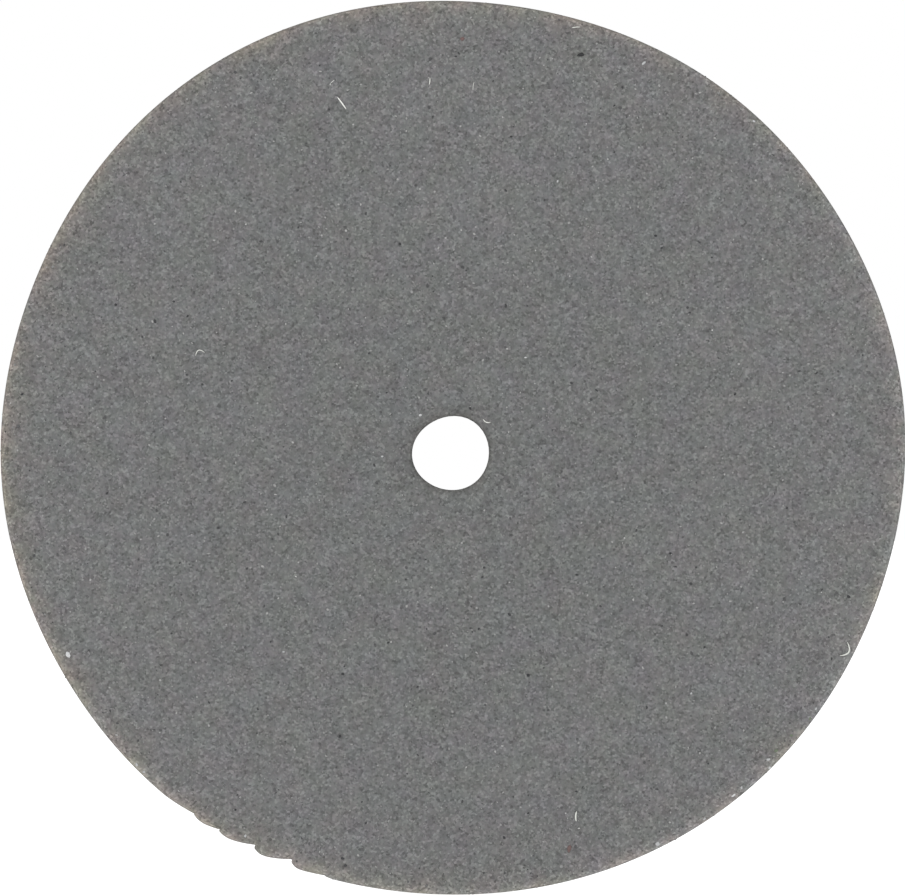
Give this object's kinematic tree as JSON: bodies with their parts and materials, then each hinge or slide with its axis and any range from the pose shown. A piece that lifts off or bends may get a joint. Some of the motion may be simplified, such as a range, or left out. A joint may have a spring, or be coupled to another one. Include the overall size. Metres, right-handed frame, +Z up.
{
  "type": "polishing wheel",
  "caption": "Flat round polishing wheel of abrasive-filled rubber with a small plain bore, clamped on a rotary tool's mandrel and run on its rim or face.",
  "frame": {"origin": "on the bore's axis, half way through the wheel's thickness", "axes": "+Y along the axis that the wheel spins about, from the front face to the back one; +Z up, +X to the right as the front face is looked at"},
  "size_m": [0.0227, 0.0032, 0.0223],
  "materials": {
    "abrasive_rubber": "matte"
  },
  "bodies": {
    "root": {"polishing_wheel": "abrasive_rubber"}
  },
  "joints": []
}
